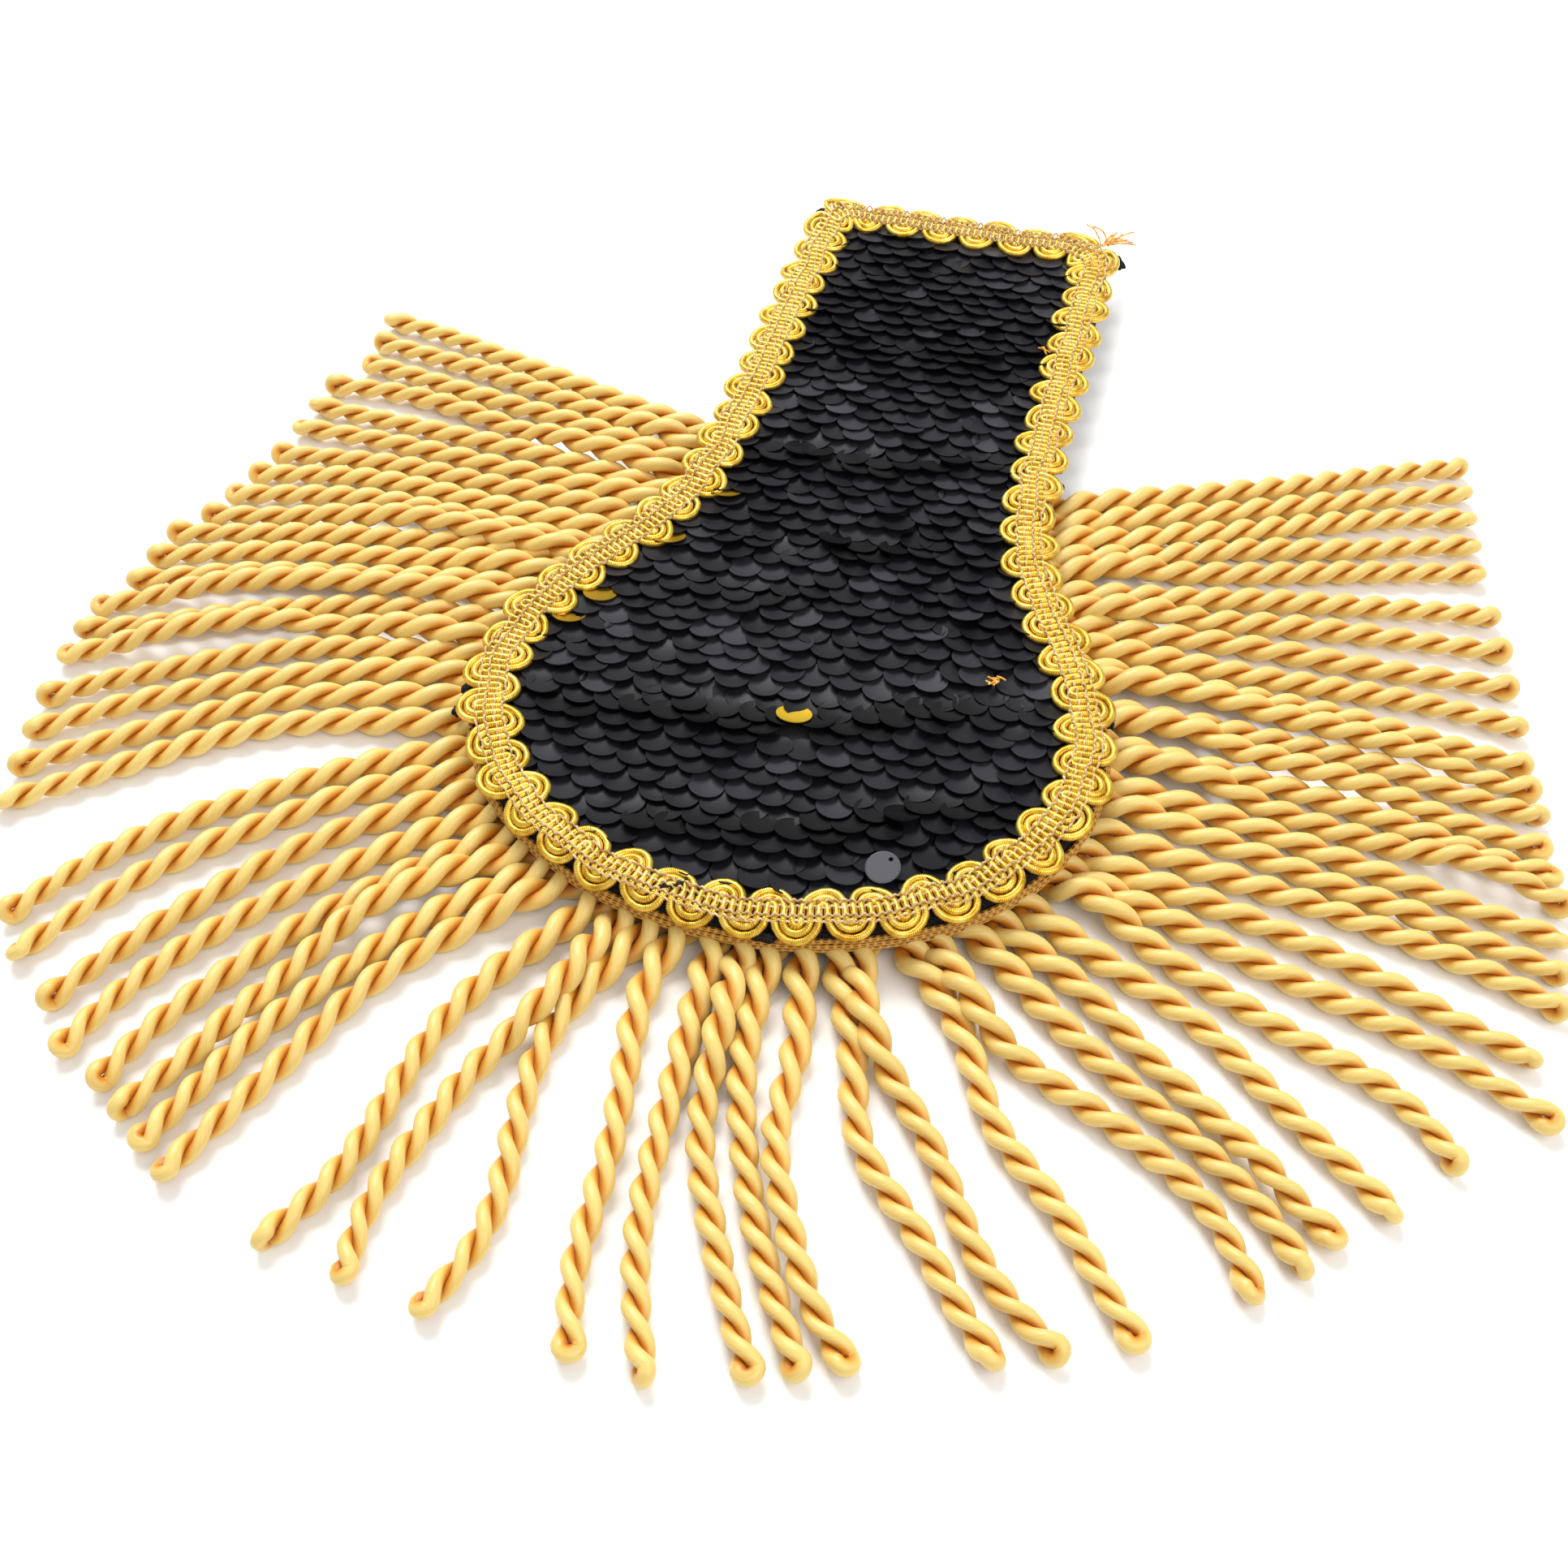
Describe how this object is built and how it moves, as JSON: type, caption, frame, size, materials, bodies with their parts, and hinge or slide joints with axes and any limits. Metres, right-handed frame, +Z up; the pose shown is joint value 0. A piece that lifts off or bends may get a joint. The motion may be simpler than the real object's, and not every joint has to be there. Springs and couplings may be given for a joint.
{
  "type": "bullion epaulette",
  "caption": "Keyhole-shaped shoulder epaulette with a sequined top, scroll gimp braid edging, twisted bullion fringe round its end and a bar pin underneath.",
  "frame": {"origin": "centre of the part's footprint, on the surface it lies on", "axes": "+Y from the fringed round end to the strap end, +Z up out of the sequined face, +X to the right seen from above with the strap end away"},
  "size_m": [0.249, 0.2517, 0.0106],
  "materials": {
    "black_board": "matte black cloth over a stiff pad",
    "black_sequins": "satin black sequins",
    "gold_gimp": "bright metallic gold cord",
    "gold_bullion": "satin straw-gold twisted cord",
    "pin_steel": "plain nickel-plated steel"
  },
  "bodies": {
    "root": {"board": "black_board", "sequin_cloth": "black_sequins", "gimp_braid": "gold_gimp", "bullion_fringe_left": "gold_bullion", "bullion_fringe_front": "gold_bullion", "bullion_fringe_right": "gold_bullion", "pin_bar": "pin_steel"}
  },
  "joints": []
}
